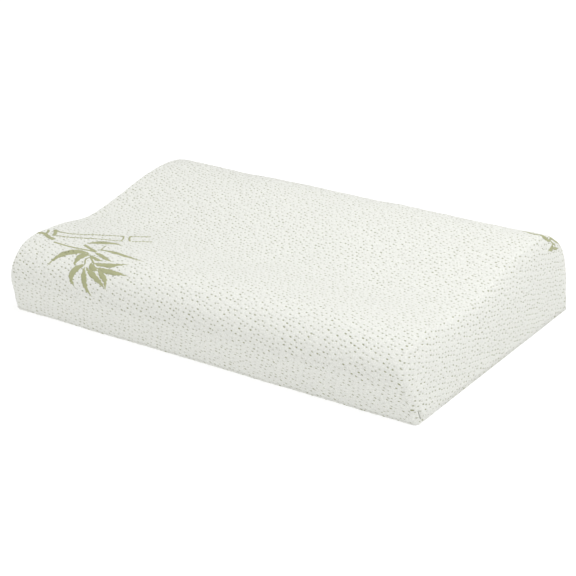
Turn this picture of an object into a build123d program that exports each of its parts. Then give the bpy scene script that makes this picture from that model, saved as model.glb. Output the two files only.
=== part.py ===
from build123d import *
import math
import os

# Contour pillow: a moulded memory foam core in a thin sewn liner, inside a
# removable knitted cover that closes with a coil zip low on the back wall.
# Frame: X along the pillow, +Y to the back (high lobe), +Z up, millimetres.
# Origin: centre of the bounding box, on the surface the pillow lies on.

# ---------------------------------------------------------------- dimensions
LENGTH = 500.0            # over the cover, end to end
END_ROUND = 13.7          # how far in from each end the top starts to fall
END_POWER = 1.86          # superellipse power of that fall
PLAN_ROUND = 18.6         # rounding of the four corners seen from above
FOOT_ROUND = 5.0          # and at the foot, where they are sharper

# Outside of the cover, cross-section (y, z). Each wall is straight up to its
# shoulder, and the crown between the shoulders is one smooth curve.
FRONT_FOOT = (-160.5, 0.0)
FRONT_SHOULDER = (-171.9, 34.4)
CROWN = [(-173.0, 46.5), (-169.5, 57.9), (-162.2, 67.5), (-152.4, 74.6),
         (-140.9, 78.3), (-116.8, 79.0), (-92.6, 77.4), (-68.6, 74.9),
         (-44.4, 73.9), (-20.3, 76.4), (3.4, 81.3), (26.9, 87.0),
         (50.6, 92.1), (74.5, 95.6), (98.7, 96.9), (122.5, 93.2),
         (144.2, 82.5), (163.9, 68.5), (171.0, 59.1), (173.0, 47.6)]
BACK_SHOULDER = (171.7, 35.3)
BACK_FOOT = (163.2, 0.0)

Y_SHIFT = 0.09            # puts the middle of the bounding box on y = 0
FRONT_FOOT, FRONT_SHOULDER, BACK_SHOULDER, BACK_FOOT = [
    (y + Y_SHIFT, z) for y, z in (FRONT_FOOT, FRONT_SHOULDER, BACK_SHOULDER, BACK_FOOT)]
CROWN = [(y + Y_SHIFT, z) for y, z in CROWN]

COVER_T = 1.6             # knitted cover fabric
LINER_GAP = 0.4           # cover to liner
LINER_T = 0.8             # liner fabric
CORE_GAP = 0.4            # liner to foam
BACK_EASE = 2.9           # extra ease behind the zip

ZIP_Z = 21.0              # height of the zip's middle line on the back wall
ZIP_OPEN = 424.0          # length of the window in the fabric
ZIP_GAP = 10.0            # height of that window
TAPE_W, TAPE_T, TAPE_L = 13.4, 0.6, 448.0
TAPE_DEPTH = 2.0          # outer face of the tape below the cover's outside
COIL_W, COIL_T = 2.7, 2.3
COIL_CLEAR = 0.6          # half the slit between the two coils
SLIDER_L, SLIDER_W, PLATE_T = 11.5, 9.2, 1.0
PULL_L, PULL_W, PULL_T = 24.0, 6.6, 1.0
BAIL_W, BAIL_T, BAIL_X = 2.0, 1.0, 3.0
STOP_L = 2.4
THREAD = 0.6

# ------------------------------------------------------------------- helpers


def unit(a, b):
    dy, dz = b[0] - a[0], b[1] - a[1]
    n = math.hypot(dy, dz)
    return dy / n, dz / n


def crown_edge():
    (ay, az), (by, bz) = FRONT_SHOULDER, BACK_SHOULDER
    (cy, cz), (ey, ez) = unit(FRONT_FOOT, FRONT_SHOULDER), unit(BACK_FOOT, BACK_SHOULDER)
    lead = [(ay, az), (ay + 2 * cy, az + 2 * cz)]          # leaves along the front wall
    tail = [(by + 2 * ey, bz + 2 * ez), (by, bz)]          # arrives along the back wall
    return Spline(*[(0, y, z) for y, z in lead + CROWN + tail])


CROWN_EDGE = crown_edge()
N_CROWN = 36


def inset_points(d, ease=0.0):
    """The cross-section moved inwards by d, and by ease more at the back wall."""
    pts = []
    for i in range(N_CROWN + 1):
        u = i / N_CROWN
        p, t = CROWN_EDGE.position_at(u), CROWN_EDGE.tangent_at(u)
        ny, nz = t.Z, -t.Y                    # inwards: right of the direction of travel
        w = min(1.0, max(0.0, (p.Y - 120.0) / 45.0))
        k = d + ease * w * w * (3 - 2 * w)
        pts.append((p.Y + ny * k, p.Z + nz * k))
    return pts


def foot(shoulder, direction, z):
    """Where the straight wall through shoulder meets height z."""
    s = (z - shoulder[1]) / direction[1]
    return shoulder[0] + s * direction[0], z


def stations(d):
    """(x, height share, inset, inset at the foot) of the sections from the middle to one end."""
    half, re, rc, rf = LENGTH / 2 - d, END_ROUND - d * 0.5, PLAN_ROUND - d, FOOT_ROUND - d
    last = 0.988                          # the end is cut here, and is a flat face
    out = [(0.0, 1.0, 0.0, 0.0), (half - rc, 1.0, 0.0, 0.0)]
    for s in (0.18, 0.34, 0.5, 0.64, 0.76, 0.86, 0.93, 0.97, last):
        u = max(0.0, 1 - (1 - s) * rc / re)
        e = (1 - u ** END_POWER) ** (1 / END_POWER)
        v = max(0.0, 1 - (1 - s) * rc / rf)
        out.append((half - rc + rc * s / last, e, rc - rc * math.sqrt(1 - s * s), rf - rf * math.sqrt(1 - v * v)))
    return out


def section(x, e, inset, inset_foot, pts, z0):
    """One closed cross-section face at x, its heights shrunk by e, cut off at z0.

    The shoulders come in with the walls' slope, so shells nest without touching.
    """
    df, db = unit(FRONT_FOOT, FRONT_SHOULDER), unit(BACK_FOOT, BACK_SHOULDER)
    k, kf = 1 - inset / 172.0, 1 - inset_foot / 172.0
    curve = []
    for y, z in pts:
        slope = df[0] / df[1] if y < 0 else db[0] / db[1]
        near = min(1.0, abs(y) / 150.0) ** 4
        curve.append(((y - slope * z * (1 - e) * near) * k, z * e))
    ends = []
    for p, way, top in ((pts[0], df, curve[0]), (pts[-1], db, curve[-1])):
        y = foot(p, way, 0.0)[0] * kf
        t = z0 / top[1]
        ends.append((y + (top[0] - y) * t, z0))
    f0, b0 = ends
    wire = Wire([
        Line((x, *f0), (x, *curve[0])),
        Spline(*[(x, *p) for p in curve]),
        Line((x, *curve[-1]), (x, *b0)),
        Line((x, *b0), (x, *f0)),
    ])
    return Face(wire)


def body(d, z0, ease=0.0):
    """The pillow's form moved inwards by d, cut off flat at height z0."""
    pts = inset_points(d, ease)
    st = stations(d)
    mid = section(-st[1][0], 1.0, 0.0, 0.0, pts, z0)
    core = extrude(mid, amount=2 * st[1][0], dir=(1, 0, 0))
    end = loft([section(*q, pts, z0) for q in st[1:]])
    other = mirror(end, about=Plane.YZ)
    return (core + end + other).clean()


def slab(z_low, z_high, size=700.0):
    return Pos(0, 0, (z_low + z_high) / 2) * Box(size, size, z_high - z_low)


def save(name, *shapes):
    solids = [s for shape in shapes for s in shape.solids()]
    out = solids[0] if len(solids) == 1 else Compound(children=solids)
    export_step(out, f"parts/{name}.step")
    print(name, len(solids), [round(s.volume, 1) for s in solids][:4])


os.makedirs("parts", exist_ok=True)

# Frame of the zip: u along the zip, v up the wall, w out of the wall.
WALL = unit(BACK_FOOT, BACK_SHOULDER)
ZIP_Y = foot(BACK_SHOULDER, WALL, ZIP_Z)[0]
ZIP = Plane(origin=(0, ZIP_Y, ZIP_Z), x_dir=(-1, 0, 0), z_dir=(0, WALL[1], -WALL[0]))


def zbox(u, v, w):
    """A box given by its (low, high) along u, v and w."""
    b = Box(u[1] - u[0], v[1] - v[0], w[1] - w[0])
    return ZIP.location * Pos((u[0] + u[1]) / 2, (v[0] + v[1]) / 2, (w[0] + w[1]) / 2) * b


# --------------------------------------------------------------- soft pieces
cover_base = body(0.0, 0.0) & slab(-1, COVER_T)
shell = body(0.0, COVER_T) - body(COVER_T, -3.0)

# Window over the zip, and the strip of cover below it.
span = (-ZIP_OPEN / 2, ZIP_OPEN / 2)
cover_top = shell - zbox(span, (-40, ZIP_GAP / 2), (-9, 6))
cover_back_strip = shell & zbox(span, (-40, -ZIP_GAP / 2), (-9, 6))
save("cover_top", cover_top)
save("cover_back_strip", cover_back_strip)
save("cover_base", cover_base)

LINER_D = COVER_T + LINER_GAP
LINER_Z = LINER_D + LINER_T
liner_top = body(LINER_D, LINER_Z, BACK_EASE) - body(LINER_Z, -3.0, BACK_EASE)
liner_base = body(LINER_D, LINER_D, BACK_EASE) & slab(-1, LINER_Z)
save("liner_top", liner_top)
save("liner_base", liner_base)

CORE_D = LINER_Z + CORE_GAP
save("foam_core", body(CORE_D, CORE_D, BACK_EASE))

# ------------------------------------------------------------------- threads


def ring(half_x, y_front, y_back, z, radius, r):
    """A thread laid round a rounded rectangle at height z."""
    w, h = 2 * half_x, y_back - y_front
    path = Plane.XY.offset(z) * Pos(0, (y_front + y_back) / 2) * RectangleRounded(w, h, radius)
    start = path.outer_wire() if hasattr(path, "outer_wire") else path.wire()
    edge = start.edges()[0]
    sec = Plane(origin=edge.position_at(0), z_dir=edge.tangent_at(0)) * Circle(r)
    return sweep(sec, path=start)


SEAM_Z = COVER_T + 0.9
f = foot(FRONT_SHOULDER, unit(FRONT_FOOT, FRONT_SHOULDER), SEAM_Z)[0]
b = foot(BACK_SHOULDER, WALL, SEAM_Z)[0]
save("base_seam_thread", ring(LENGTH / 2 - 0.4, f, b, SEAM_Z, FOOT_ROUND + 1.5, THREAD / 2))

lz = LINER_Z + 0.95
lf = foot(FRONT_SHOULDER, unit(FRONT_FOOT, FRONT_SHOULDER), lz)[0] + LINER_D + 0.3
lb = foot(BACK_SHOULDER, WALL, lz)[0] - LINER_D - BACK_EASE
save("liner_seam_thread", ring(LENGTH / 2 - LINER_D - 0.8, lf, lb, lz, FOOT_ROUND + 2.3, THREAD * 0.4))

# A short dart closes the fabric beside each lower corner, on the end.
DART_LOW, DART_HIGH = (249.35, 151.2, 4.0), (248.1, 154.95, 13.5)
darts = []
for sx in (-1, 1):
    for g, k in ((-1, 1.0), (1, 1.012)):
        low, high = ((sx * x, g * y * k, z) for x, y, z in (DART_LOW, DART_HIGH))
        line = Line(low, high)
        darts.append(sweep(Plane(origin=low, z_dir=line.tangent_at(0)) * Circle(THREAD / 2), path=line))
save("corner_dart_threads", *darts)

# ----------------------------------------------------------------------- zip
t_top, t_bot = -TAPE_DEPTH, -TAPE_DEPTH - TAPE_T
save("zip_tape_upper", zbox((-TAPE_L / 2, TAPE_L / 2), (COIL_CLEAR, COIL_CLEAR + TAPE_W), (t_bot, t_top)))
save("zip_tape_lower", zbox((-TAPE_L / 2, TAPE_L / 2), (-COIL_CLEAR - TAPE_W, -COIL_CLEAR), (t_bot, t_top)))

STOP_GAP = 5.0            # stops sit this far inside the window's ends
coil_half = ZIP_OPEN / 2 - STOP_GAP - STOP_L
coil_u = (-coil_half + 0.3, coil_half - 0.3)
for name, s in (("zip_coil_upper", 1), ("zip_coil_lower", -1)):
    lo, hi = sorted((s * COIL_CLEAR, s * (COIL_CLEAR + COIL_W)))
    bar = zbox(coil_u, (lo, hi), (t_top, t_top + COIL_T))
    save(name, fillet(bar.edges().filter_by(Axis.X), 0.7))

# Two metal stops at the closed end, one bar across both tapes at the other.
tops = []
for s in (1, -1):
    lo, hi = sorted((s * COIL_CLEAR, s * (COIL_CLEAR + COIL_W)))
    tops.append(zbox((coil_half, coil_half + STOP_L), (lo, hi), (t_top, t_top + 2.0)))
save("zip_top_stops", *[fillet(t.edges().filter_by(Axis.X), 0.5) for t in tops])
bottom_stop = zbox((-coil_half - STOP_L, -coil_half), (-COIL_CLEAR - COIL_W, COIL_CLEAR + COIL_W), (t_top, t_top + 2.0))
save("zip_bottom_stop", fillet(bottom_stop.edges().filter_by(Axis.X), 0.5))

# Slider: two plates round the coils, joined by a thin post that runs in the
# slit, with flanges that leave a slot for the tapes, and a bail on top.
SL_U = coil_half - 0.6 - SLIDER_L / 2          # middle of the slider, closed
top0 = t_top + COIL_T + 0.25                   # inner face of the outer plate
bot0 = t_bot - 0.3                             # inner face of the inner plate
half_w = SLIDER_W / 2
su = (SL_U - SLIDER_L / 2, SL_U + SLIDER_L / 2)


def plate(w):
    p = zbox(su, (-half_w, half_w), w)
    return fillet([e for e in p.edges() if abs(e.tangent_at(0).dot(ZIP.z_dir)) > 0.99], 2.6)


slider = plate((top0, top0 + PLATE_T)) + plate((bot0 - PLATE_T, bot0))
slider += zbox((SL_U + 1.6, SL_U + SLIDER_L / 2 - 0.5), (-0.38, 0.38), (bot0 - 0.2, top0 + 0.2))
for s in (1, -1):
    lo, hi = sorted((s * (half_w - 0.8), s * half_w))
    slider += zbox((su[0] + 2.4, su[1] - 2.4), (lo, hi), (t_top + 0.3, top0 + 0.3))
    slider += zbox((su[0] + 2.4, su[1] - 2.4), (lo, hi), (bot0 - 0.3, bot0 + 0.05))
PIN_W = top0 + PLATE_T + 0.35 + PULL_T / 2     # height of the pull's axis
bail_in = PIN_W + PULL_T / 2 + 0.35
bail = zbox((SL_U - BAIL_X - BAIL_T, SL_U + BAIL_X + BAIL_T), (-BAIL_W / 2, BAIL_W / 2), (top0 + PLATE_T - 0.2, bail_in + BAIL_T))
bail -= zbox((SL_U - BAIL_X, SL_U + BAIL_X), (-BAIL_W, BAIL_W), (top0 + PLATE_T - 1.0, bail_in))
slider += bail
save("zip_slider", slider)

# Pull: a tab whose eye goes round the bail, and whose round bar is the hinge.
eye_u = (0.5, 6.4)
tab = zbox((SL_U - PULL_L, SL_U), (-PULL_W / 2, PULL_W / 2), (PIN_W - PULL_T / 2, PIN_W + PULL_T / 2))
tab = fillet([e for e in tab.edges() if abs(e.tangent_at(0).dot(ZIP.z_dir)) > 0.99 and ZIP.to_local_coords(e.center()).X < SL_U - 5], 2.4)
tab -= zbox((SL_U - eye_u[1], SL_U - eye_u[0]), (-BAIL_W / 2 - 0.45, BAIL_W / 2 + 0.45), (PIN_W - 3, PIN_W + 3))
hole = ZIP.location * Pos(SL_U - PULL_L + 4.2, 0, PIN_W) * Cylinder(1.3, 4)
tab -= hole
bar = ZIP.location * Pos(SL_U, 0, PIN_W) * Rot(90, 0, 0) * Cylinder(PULL_T / 2, PULL_W)
save("zip_pull", tab + bar)

# Rows of stitches that hold the tapes, and a bartack at each end of the window.
for name, s in (("zip_stitching_upper", 1), ("zip_stitching_lower", -1)):
    v = s * (ZIP_GAP / 2 + 2.2)
    row = ZIP.location * Pos(0, v, 0.0) * Rot(0, 90, 0) * Cylinder(THREAD / 2, ZIP_OPEN - 2)
    save(name, row)
tacks = []
for s in (1, -1):
    u0 = s * (ZIP_OPEN / 2 + 1.2)
    lo, hi = sorted((u0 - 0.7, u0 + 0.7))
    tacks.append(zbox((lo, hi), (-ZIP_GAP / 2 - 1.5, ZIP_GAP / 2 + 1.5), (-0.2, 0.45)))
save("zip_bartacks", *tacks)

# Folded satin care label, sewn in behind the lower edge of the back wall.
LABEL_U, LABEL_W, LABEL_OUT, LABEL_T = 168.0, 24.0, 8.6, 0.9
ly = BACK_FOOT[0] + 0.7
label = Pos(-LABEL_U, ly + LABEL_OUT / 2, 0.15 + LABEL_T / 2) * Box(LABEL_W, LABEL_OUT, LABEL_T)
label = fillet(label.edges().filter_by(Axis.X).sort_by(Axis.Y)[-2:], 0.4)
save("care_label", label)
print("slider middle u", SL_U, "travel", 2 * coil_half - 1.2 - SLIDER_L, "pin w", PIN_W)
pin = ZIP.from_local_coords(Vector(SL_U, 0, PIN_W))
print("pin", pin, "axis v", ZIP.y_dir, "w", ZIP.z_dir)
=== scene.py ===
"""Looks of the contour pillow: knitted cover with its zip, seams and woven sprigs,
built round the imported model. Metres in Blender; the form below is in millimetres."""
import math
import bmesh
import bpy
import numpy as np
from mathutils import Matrix, Vector


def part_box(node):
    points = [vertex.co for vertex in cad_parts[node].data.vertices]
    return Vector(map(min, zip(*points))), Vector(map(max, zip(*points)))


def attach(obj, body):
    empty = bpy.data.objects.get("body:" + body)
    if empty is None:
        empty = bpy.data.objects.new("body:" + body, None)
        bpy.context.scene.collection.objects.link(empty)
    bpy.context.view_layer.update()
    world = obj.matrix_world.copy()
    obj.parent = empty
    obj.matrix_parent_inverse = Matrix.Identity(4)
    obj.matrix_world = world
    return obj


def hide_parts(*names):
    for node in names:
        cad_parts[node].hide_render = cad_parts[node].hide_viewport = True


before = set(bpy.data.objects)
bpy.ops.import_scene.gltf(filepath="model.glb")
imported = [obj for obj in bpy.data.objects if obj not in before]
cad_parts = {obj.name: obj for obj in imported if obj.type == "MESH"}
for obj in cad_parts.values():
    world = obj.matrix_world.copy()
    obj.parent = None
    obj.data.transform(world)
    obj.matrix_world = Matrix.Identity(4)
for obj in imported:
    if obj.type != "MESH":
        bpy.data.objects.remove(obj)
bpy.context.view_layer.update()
RNG = np.random.default_rng(20431)
MM = 0.001

# ------------------------------------------------------------ the pillow's form
# Millimetres, in the row frame. The same cross-section and ends as the CAD.
HALF = 250.0
END_ROUND, END_POWER, PLAN_ROUND, FOOT_ROUND = 13.7, 1.86, 18.6, 5.0
TUCK_ROUND = 12.0                                           # the -X end's foot corners are tucked under
SHIFT = 0.09
FRONT_FOOT, FRONT_SHOULDER = (-160.5 + SHIFT, 0.0), (-171.9 + SHIFT, 34.4)
BACK_SHOULDER, BACK_FOOT = (171.7 + SHIFT, 35.3), (163.2 + SHIFT, 0.0)
CROWN = [(-173.0, 46.5), (-169.5, 57.9), (-162.2, 67.5), (-152.4, 74.6),
         (-140.9, 78.3), (-116.8, 79.0), (-92.6, 77.4), (-68.6, 74.9),
         (-44.4, 73.9), (-20.3, 76.4), (3.4, 81.3), (26.9, 87.0),
         (50.6, 92.1), (74.5, 95.6), (98.7, 96.9), (122.5, 93.2),
         (144.2, 82.5), (163.9, 68.5), (171.0, 59.1), (173.0, 47.6)]
ZIP_Z, ZIP_OPEN, ZIP_GAP, BACK_EASE = 21.0, 424.0, 10.0, 2.9


def unit(a, b):
    v = np.array(b, float) - np.array(a, float)
    return v / np.linalg.norm(v)


DF, DB = unit(FRONT_FOOT, FRONT_SHOULDER), unit(BACK_FOOT, BACK_SHOULDER)


def natural_spline(t, p, q):
    """p at knots t, as a natural cubic, read at q."""
    n, h = len(t), np.diff(t)
    a, r = np.eye(n), np.zeros((n, p.shape[1]))
    for i in range(1, n - 1):
        a[i, i - 1], a[i, i], a[i, i + 1] = h[i - 1], 2 * (h[i - 1] + h[i]), h[i]
        r[i] = 6 * ((p[i + 1] - p[i]) / h[i] - (p[i] - p[i - 1]) / h[i - 1])
    m = np.linalg.solve(a, r)
    i = np.clip(np.searchsorted(t, q) - 1, 0, n - 2)
    u, w = (q - t[i])[:, None], (t[i + 1] - q)[:, None]
    g = h[i][:, None]
    return (m[i] * w ** 3 + m[i + 1] * u ** 3) / (6 * g) + (p[i] / g - m[i] * g / 6) * w + (p[i + 1] / g - m[i + 1] * g / 6) * u


def make_profile():
    pts = [FRONT_SHOULDER, tuple(np.array(FRONT_SHOULDER) + 2 * DF)]
    pts += [(y + SHIFT, z) for y, z in CROWN]
    pts += [tuple(np.array(BACK_SHOULDER) + 2 * DB), BACK_SHOULDER]
    p = np.array(pts, float)
    t = np.r_[0, np.cumsum(np.linalg.norm(np.diff(p, axis=0), axis=1))]
    c = natural_spline(t, p, np.linspace(0, t[-1], 2400))
    c = np.vstack([np.linspace(FRONT_FOOT, FRONT_SHOULDER, 200)[:-1], c, np.linspace(BACK_SHOULDER, BACK_FOOT, 200)[1:]])
    s = np.r_[0, np.cumsum(np.linalg.norm(np.diff(c, axis=0), axis=1))]
    g = np.gradient(c, s, axis=0)
    g /= np.linalg.norm(g, axis=1)[:, None]
    return s, c, np.stack([g[:, 1], -g[:, 0]], 1)          # inward normal


PS, PC, PN = make_profile()
S_ALL = PS[-1]                                              # length of the profile
S_FRONT = math.dist(FRONT_FOOT, FRONT_SHOULDER)             # where the front wall ends
S_BACK = S_ALL - math.dist(BACK_FOOT, BACK_SHOULDER)        # and where the back wall starts


def profile(s, d=0.0, ease=0.0):
    """(y, z) at profile length s, moved inwards by d, and by ease more at the back."""
    y, z = np.interp(s, PS, PC[:, 0]), np.interp(s, PS, PC[:, 1])
    ny, nz = np.interp(s, PS, PN[:, 0]), np.interp(s, PS, PN[:, 1])
    w = np.clip((y - 120.0) / 45.0, 0, 1)
    k = d + ease * w * w * (3 - 2 * w)
    return y + ny * k, z + nz * k


def form(s, a, d=0.0, ease=0.0):
    """Points of the form. s is length along the profile. a is where along X: up to
    1 in size it is the straight stretch, and from 1 to 2 the rounded end."""
    s, a = np.broadcast_arrays(np.asarray(s, float), np.asarray(a, float))
    y, z = profile(s, d, ease)
    half, re, rc, rf = HALF - d, END_ROUND - d * 0.5, PLAN_ROUND - d, np.where(a < 0, TUCK_ROUND, FOOT_ROUND) - d
    m, g = np.abs(a), np.sign(a)
    phi = np.clip(m - 1, 0, 1) * np.pi / 2
    u, e = np.sin(phi) ** (2 / END_POWER), np.cos(phi) ** (2 / END_POWER)
    x = np.where(m <= 1, m * (half - re), half - re + re * u)
    w, v = np.clip(x - (half - rc), 0, rc), np.clip(x - (half - rf), 0, rf)
    k = 1 - (rc - np.sqrt(np.maximum(rc * rc - w * w, 0))) / 172.0
    kf = 1 - (rf - np.sqrt(np.maximum(rf * rf - v * v, 0))) / 172.0
    slope = np.where(y < 0, DF[0] / DF[1], DB[0] / DB[1])
    near = np.minimum(1, np.abs(y) / 150.0) ** 4
    out = (y - slope * z * (1 - e) * near) * k
    # the walls are straight from the foot, with its sharper corners, to the shoulder
    for wall, at in ((s < S_FRONT, S_FRONT), (s > S_BACK, S_BACK)):
        ys, zs = profile(np.array([at]), d, ease)
        head = (ys[0] - slope * zs[0] * (1 - e)) * k
        low = (ys[0] - slope * zs[0]) * kf
        out = np.where(wall, low + (head - low) * z / zs[0], out)
    return np.stack([g * x, out, z * e], -1)
# ---------------------------------------------------------------- end of form

A_HALF = HALF - END_ROUND                                   # x where the rounded end starts


def a_of(x):
    """The form's coordinate along X for a place x on the outside."""
    x = np.asarray(x, float)
    u = np.clip((np.abs(x) - A_HALF) / END_ROUND, 0, 1)
    end = 1 + np.arcsin(u ** (END_POWER / 2)) * 2 / np.pi
    return np.sign(x) * np.where(np.abs(x) <= A_HALF, np.abs(x) / A_HALF, end)


# Slow unevenness of cloth over foam: a fixed set of long, low waves.
_WAVES = [(float(l), float(t), float(p)) for l, t, p in
          zip(RNG.uniform(46, 150, 26), RNG.uniform(0, 2 * np.pi, 26), RNG.uniform(0, 2 * np.pi, 26))]
_FINE = [(float(l), float(t), float(p)) for l, t, p in
         zip(RNG.uniform(15, 30, 18), RNG.uniform(0, 2 * np.pi, 18), RNG.uniform(0, 2 * np.pi, 18))]


def waves(u, v, table, amp):
    out = np.zeros(np.broadcast(u, v).shape)
    for length, turn, phase in table:
        out += np.sin((u * math.cos(turn) + v * math.sin(turn)) * 2 * np.pi / length + phase)
    return out * amp / math.sqrt(len(table) / 2)


def corner(sx, back):
    """Foot and head of the dart beside a lower corner, on the end."""
    g, k = (1, 1.012) if back else (-1, 1.0)
    if sx < 0:
        return [np.array([-249.2, g * 150.5 * k, 3.5]), np.array([-248.3, g * 155.1 * k, 13.5])]
    return [np.array([249.55, g * 151.4 * k, 4.0]), np.array([248.4, g * 155.1 * k, 13.5])]


DARTS = [corner(sx, back) for sx in (-1, 1) for back in (False, True)]
ZIP_S = S_ALL - ZIP_Z / DB[1]                               # the zip's middle, along the profile
BOTTOM_R = 1.2


def relief(p, s, a):
    """How far the cloth stands off the plain form, in mm, at points p."""
    x, y, z = p[..., 0], p[..., 1], p[..., 2]
    end = np.clip(np.abs(a) - 1, 0, 1)
    h = waves(x, s, _WAVES, 0.34)
    h += waves(x * 1.3, s, _FINE, 0.07)
    # on the ends the length along the profile packs together, so it fades there
    h *= 1 - 0.55 * np.clip(end * 1.6, 0, 1)
    h += np.clip(end * 2, 0, 1) * waves(y, z, _WAVES, 0.30)
    # the cloth pulls a little where it goes under: small puckers along the foot
    run = np.where(end > 0.35, y + 97.0, x)
    low = np.exp(-np.maximum(z, 0) / 6.5)
    h += low * (0.20 * np.sin(run * 2 * np.pi / 12.7 + 1.7 * np.sin(run / 23.0)) + 0.09 * np.sin(run * 2 * np.pi / 5.9 + 2.0 * np.sin(run / 31.0)))
    # the foot seam lies in a shallow groove
    h -= 0.30 * np.exp(-((z - 2.6) / 1.0) ** 2)
    # darts: a groove with a soft lip on each side, and a faint fold going up from it
    for lo, hi in DARTS:
        d = hi - lo
        t = np.clip(((p - lo) @ d) / (d @ d), 0, 1)
        off = p - (lo + t[..., None] * d)
        r = np.linalg.norm(off, axis=-1)
        fade = np.clip((19.0 - z) / 6.0, 0, 1)
        h -= 2.1 * np.exp(-(r / 0.95) ** 2) * fade
        h += 0.55 * np.exp(-((r - 3.4) / 1.8) ** 2) * fade
        side = off[..., 0] * np.sign(lo[0])
        up = np.exp(-((z - 33.0) / 13.0) ** 2)
        h += 0.8 * up * np.exp(-((side - 1.0) / 5.0) ** 2) * np.exp(-(np.maximum(np.hypot(off[..., 0], off[..., 1]) - 2, 0) / 9.0) ** 2)
        for k, lean in enumerate((-0.75, 0.8)):
            q = (off[..., 0] * np.sign(lo[0])) * 0.7 + lean * (z - 12.0) * 0.5
            h += 0.4 * np.exp(-(q / 3.4) ** 2) * np.exp(-(r / 20.0) ** 2) * np.clip(z / 8, 0, 1)
    # round the zip: a folded hem, sewn down in a line
    v = ZIP_S - s
    gap = np.maximum(np.abs(v) - ZIP_GAP / 2, 0)
    side = np.maximum(np.abs(x) - ZIP_OPEN / 2, 0)
    r = np.hypot(gap, side)
    near = np.where((y > 100) & (end < 0.3), 1.0, 0.0)
    h += near * 0.38 * np.clip((8.2 - r) / 1.6, 0, 1)
    h -= near * 0.42 * np.exp(-((r - 2.3) / 0.8) ** 2)
    h += near * 0.16 * np.exp(-(r / 5.0)) * np.sin(x * 2 * np.pi / 6.4 + 1.3 * np.sin(x / 19.0))
    return h


def skin(s, a, lift=0.0, plain=False):
    """Points of the cover's outside at (s, a), lifted off it by lift mm."""
    s, a = np.broadcast_arrays(np.asarray(s, float), np.asarray(a, float))
    p = form(s, a)
    hs, ha = 0.6, 0.0022
    s0, s1 = np.clip(s - hs, 0, S_ALL), np.clip(s + hs, 0, S_ALL)
    a0, a1 = np.clip(a - ha, -1.995, 1.995), np.clip(a + ha, -1.995, 1.995)
    ac = np.clip(a, -1.99, 1.99)
    n = np.cross(form(s, a1) - form(s, a0), form(s1, ac) - form(s0, ac))
    n /= np.maximum(np.linalg.norm(n, axis=-1, keepdims=True), 1e-9)
    n *= np.sign((n * (p - np.array([0, 0, 38.0]))).sum(-1, keepdims=True))
    h = lift + (0 if plain else relief(p, s, a))
    q = p + n * (h[..., None] if np.ndim(h) else h)
    # the foot turns under with a small radius
    z = np.clip(q[..., 2], 0, BOTTOM_R)
    back = BOTTOM_R - np.sqrt(BOTTOM_R ** 2 - (BOTTOM_R - z) ** 2)
    flat = n.copy()
    flat[..., 2] = 0
    flat /= np.maximum(np.linalg.norm(flat, axis=-1, keepdims=True), 1e-6)
    q = q - flat * back[..., None]
    q[..., 2] = np.maximum(q[..., 2], 0.06)
    return q, n


# ------------------------------------------------------------------ mesh tools


def new_mesh(name, verts, faces, uv=None, smooth=True):
    """An object from mm vertices. uv gives one (u, v) in metres per face corner."""
    me = bpy.data.meshes.new(name)
    me.from_pydata([tuple(v) for v in np.asarray(verts, float) * MM], [], [tuple(map(int, f)) for f in faces])
    if uv is not None:
        layer = me.uv_layers.new(name="cloth")
        layer.data.foreach_set("uv", np.asarray(uv, np.float32).ravel())
    if smooth:
        me.polygons.foreach_set("use_smooth", [True] * len(me.polygons))
    me.update()
    o = bpy.data.objects.new(name, me)
    bpy.context.scene.collection.objects.link(o)
    return o


def grid_faces(n, m, base=0, flip=False, skip=None):
    i, j = np.meshgrid(np.arange(n - 1), np.arange(m - 1), indexing="ij")
    f = np.stack([i * m + j, i * m + j + 1, (i + 1) * m + j + 1, (i + 1) * m + j], -1).reshape(-1, 4) + base
    if skip is not None:
        f = f[~skip.ravel()]
    return f[:, ::-1] if flip else f


def outward(o):
    bm = bmesh.new()
    bm.from_mesh(o.data)
    bmesh.ops.recalc_face_normals(bm, faces=bm.faces)
    bm.to_mesh(o.data)
    bm.free()
    o.data.update()
    return o


def weld(o, dist=0.00002):
    bm = bmesh.new()
    bm.from_mesh(o.data)
    bmesh.ops.remove_doubles(bm, verts=bm.verts, dist=dist)
    bmesh.ops.dissolve_degenerate(bm, dist=0.000005, edges=bm.edges)
    bmesh.ops.recalc_face_normals(bm, faces=bm.faces)
    bm.to_mesh(o.data)
    bm.free()
    o.data.update()
    return o


def box_uv(verts, faces, scale=MM):
    """Cloth coordinates, in metres, from the side each face looks to."""
    v = np.asarray(verts, float)
    out = []
    for f in faces:
        q = v[list(f)]
        n = np.abs(np.cross(q[1] - q[0], q[2] - q[0]))
        k = int(np.argmax(n))
        i, j = [(1, 2), (0, 2), (0, 1)][k]
        out.append(q[:, [i, j]] * scale)
    return np.concatenate(out)


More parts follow.
